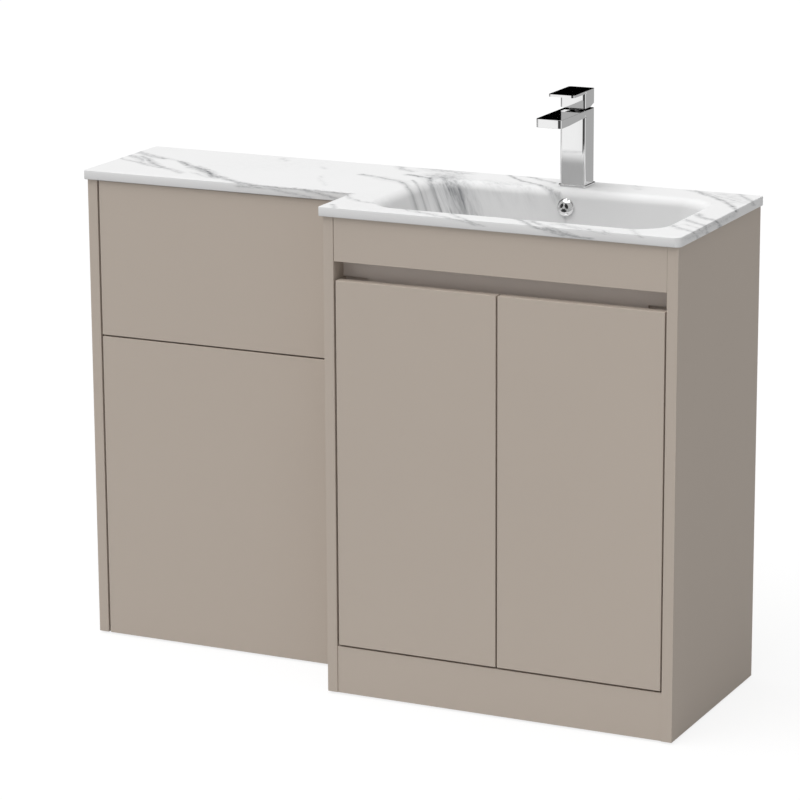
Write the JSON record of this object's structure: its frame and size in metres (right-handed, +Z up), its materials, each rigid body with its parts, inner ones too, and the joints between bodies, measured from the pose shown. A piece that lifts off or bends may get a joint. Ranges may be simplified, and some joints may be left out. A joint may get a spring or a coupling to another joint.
{
  "type": "combination vanity unit",
  "caption": "L-shaped toilet and basin furniture with a moulded worktop and bowl, square mixer tap, inset doors under a finger recess and a lift-off service panel.",
  "frame": {"origin": "on the floor, under the middle of the whole unit's box", "axes": "+X to the right as seen from the front, -Y towards the user, +Z up"},
  "size_m": [1.108, 0.367, 0.9656],
  "materials": {
    "greige_board": "matt foil-faced board",
    "marble_resin": "gloss, white with grey veins",
    "chrome": "polished",
    "steel": "nickel plated",
    "white_plastic": "moulded",
    "grey_plastic": "moulded",
    "clear_rubber": "soft",
    "black_rubber": "soft"
  },
  "bodies": {
    "carcass": {"basin_gable_left": "greige_board", "basin_gable_right": "greige_board", "basin_base": "greige_board", "plinth": "greige_board", "fascia": "greige_board", "recess_rail": "greige_board", "basin_rail_top": "greige_board", "basin_rail_bottom": "greige_board", "shelf": "greige_board", "shelf_pins": "steel", "wc_gable_left": "greige_board", "wc_gable_right": "greige_board", "wc_rail_front_top": "greige_board", "wc_rail_middle": "greige_board", "wc_rail_foot": "greige_board", "wc_rail_back_top": "greige_board", "wc_rail_back_bottom": "greige_board", "wc_panel_lower": "greige_board", "panel_sockets": "white_plastic", "unit_connectors": "steel", "glides": "grey_plastic", "wall_brackets": "steel", "worktop_basin": "marble_resin", "overflow_duct": "white_plastic", "overflow_cover": "chrome", "waste_body": "chrome", "waste_seal": "black_rubber", "waste_washer": "black_rubber", "waste_nut": "white_plastic", "tap_body": "chrome", "tap_gasket": "black_rubber", "tap_cartridge": "white_plastic", "tap_aerator": "white_plastic", "tap_stud": "steel", "tap_clamp": "steel", "tap_clamp_pad": "black_rubber", "tap_nut": "steel", "door_buffers": "clear_rubber", "hinge_arms": "steel", "hinge_plates": "steel", "hinge_plate_screws": "steel"},
    "door_left": {"door_left": "greige_board", "hinge_cups_left": "steel", "hinge_pins_left": "steel"},
    "door_right": {"door_right": "greige_board", "hinge_cups_right": "steel", "hinge_pins_right": "steel"},
    "tap_mixer": {"tap_carrier": "grey_plastic", "tap_pivot_pin": "steel"},
    "tap_lever": {"tap_stem": "steel", "tap_handle": "chrome"},
    "click_plug": {"waste_plug": "chrome"},
    "service_panel": {"wc_panel_upper": "greige_board", "panel_studs": "white_plastic"}
  },
  "joints": [
    {"name": "door_left_swing", "type": "hinge", "parent": "carcass", "child": "door_left", "pos_m": [0.0005, -0.168, 0.3875], "axis": [0, 0, -1], "range_deg": [0, 95]},
    {"name": "door_right_swing", "type": "hinge", "parent": "carcass", "child": "door_right", "pos_m": [0.4995, -0.168, 0.3875], "axis": [0, 0, 1], "range_deg": [0, 95]},
    {"name": "tap_turn", "type": "hinge", "parent": "carcass", "child": "tap_mixer", "pos_m": [0.248, 0.1455, 0.934], "axis": [0, 0, 1], "range_deg": [-45, 45]},
    {"name": "tap_lift", "type": "hinge", "parent": "tap_mixer", "child": "tap_lever", "pos_m": [0.248, 0.1455, 0.929], "axis": [-1, 0, 0], "range_deg": [0, 20]},
    {"name": "plug_rise", "type": "slide", "parent": "carcass", "child": "click_plug", "axis": [0, 0, 1], "range_m": [0, 0.007]},
    {"name": "panel_pull", "type": "slide", "parent": "carcass", "child": "service_panel", "axis": [0, -1, 0], "range_m": [0, 0.16]}
  ]
}
